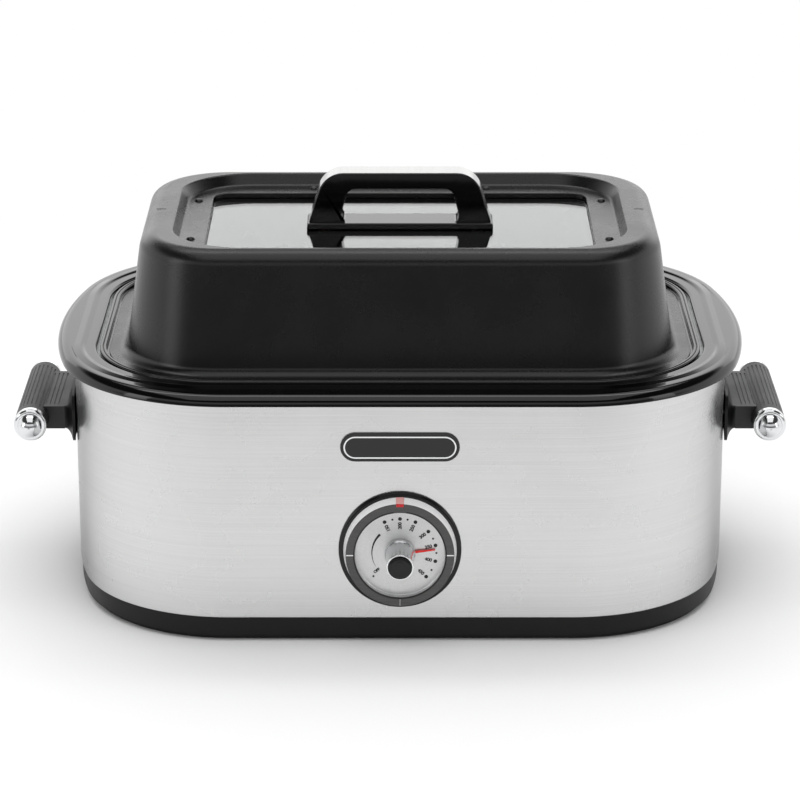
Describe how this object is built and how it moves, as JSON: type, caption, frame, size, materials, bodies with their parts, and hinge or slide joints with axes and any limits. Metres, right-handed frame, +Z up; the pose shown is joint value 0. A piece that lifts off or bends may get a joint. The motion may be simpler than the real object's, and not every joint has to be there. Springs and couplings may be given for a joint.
{
  "type": "electric roaster oven",
  "caption": "Countertop roaster oven: bowed steel body on a black base, black rim, lift-off domed lid with window and bridge handle, removable pan, dial thermostat, ribbed side handles.",
  "frame": {"origin": "centre of the footprint on the surface that the feet stand on", "axes": "+X to the right along the long side, +Y to the back, +Z up; the dial faces -Y"},
  "size_m": [0.6226, 0.429, 0.3327],
  "materials": {
    "steel_body": "fine brushing along the wall",
    "base_plastic": "satin",
    "foot_rubber": "matte",
    "zinc_steel": "zinc plated",
    "rim_enamel": "gloss black",
    "aluminised_steel": "dull aluminised",
    "mineral_fibre": "felted",
    "heater_cloth": "woven glass cloth over mica",
    "terminal_brass": "bright",
    "ceramic": "glazed ceramic",
    "lamp_glass": "clear over an orange glow lamp",
    "lens_red": "translucent red",
    "bezel_plastic": "gloss black",
    "ring_metal": "satin grey with white ticks",
    "face_metal": "silver with a printed scale",
    "badge_black": "gloss black, bare",
    "badge_silver": "bright",
    "grip_plastic": "charcoal, satin",
    "flange_plastic": "black, satin",
    "chrome_trim": "mirror",
    "knob_chrome": "bright",
    "knob_black": "satin black",
    "needle_red": "gloss red",
    "shaft_steel": "turned",
    "pan_enamel": "gloss black enamel",
    "rack_wire": "plated wire",
    "lid_paint": "satin black, fine texture",
    "window_glass": "clear tempered glass",
    "gasket_silicone": "matte black",
    "frame_paint": "dark grey",
    "rivet_dark": "dark, satin",
    "handle_plastic": "gloss black",
    "strip_metal": "bright silver",
    "washer_silicone": "matte"
  },
  "bodies": {
    "body": {"outer_shell": "steel_body", "base_tray": "base_plastic", "feet": "foot_rubber", "base_screws": "zinc_steel", "top_rim": "rim_enamel", "cook_well": "aluminised_steel", "insulation": "mineral_fibre", "heating_band": "heater_cloth", "band_terminals": "terminal_brass", "thermostat": "ceramic", "thermostat_bracket": "zinc_steel", "bushing_nut": "zinc_steel", "pilot_lamp": "lamp_glass", "pilot_lens": "lens_red", "dial_bezel": "bezel_plastic", "dial_ring": "ring_metal", "dial_face": "face_metal", "badge_plate": "badge_black", "badge_border": "badge_silver", "cord_gland": "base_plastic", "terminal_block": "ceramic", "handle_grip_left": "grip_plastic", "handle_grip_right": "grip_plastic", "handle_flange_left": "flange_plastic", "handle_flange_right": "flange_plastic", "handle_caps_left": "chrome_trim", "handle_caps_right": "chrome_trim", "handle_screws": "zinc_steel"},
    "knob": {"knob_shaft": "shaft_steel", "knob_hub": "knob_chrome", "knob_cap": "knob_black", "knob_needle": "needle_red"},
    "pan": {"roasting_pan": "pan_enamel"},
    "rack": {"roasting_rack": "rack_wire"},
    "lid": {"lid_shell": "lid_paint", "lid_window": "window_glass", "window_gasket": "gasket_silicone", "window_frame": "frame_paint", "lid_rivets": "rivet_dark", "lid_handle": "handle_plastic", "lid_handle_strip": "strip_metal", "lid_handle_screws": "zinc_steel", "lid_handle_washers": "washer_silicone"}
  },
  "joints": [
    {"name": "knob_turn", "type": "hinge", "parent": "body", "child": "knob", "pos_m": [0, -0.18, 0.0778], "axis": [0, 1, 0], "range_deg": [-216, 51]},
    {"name": "pan_lift", "type": "slide", "parent": "body", "child": "pan", "axis": [0, 0, 1], "range_m": [0, 0.18]},
    {"name": "rack_lift", "type": "slide", "parent": "pan", "child": "rack", "axis": [0, 0, 1], "range_m": [0, 0.18]},
    {"name": "lid_lift", "type": "slide", "parent": "rack", "child": "lid", "axis": [0, 0, 1], "range_m": [0, 0.2]}
  ]
}
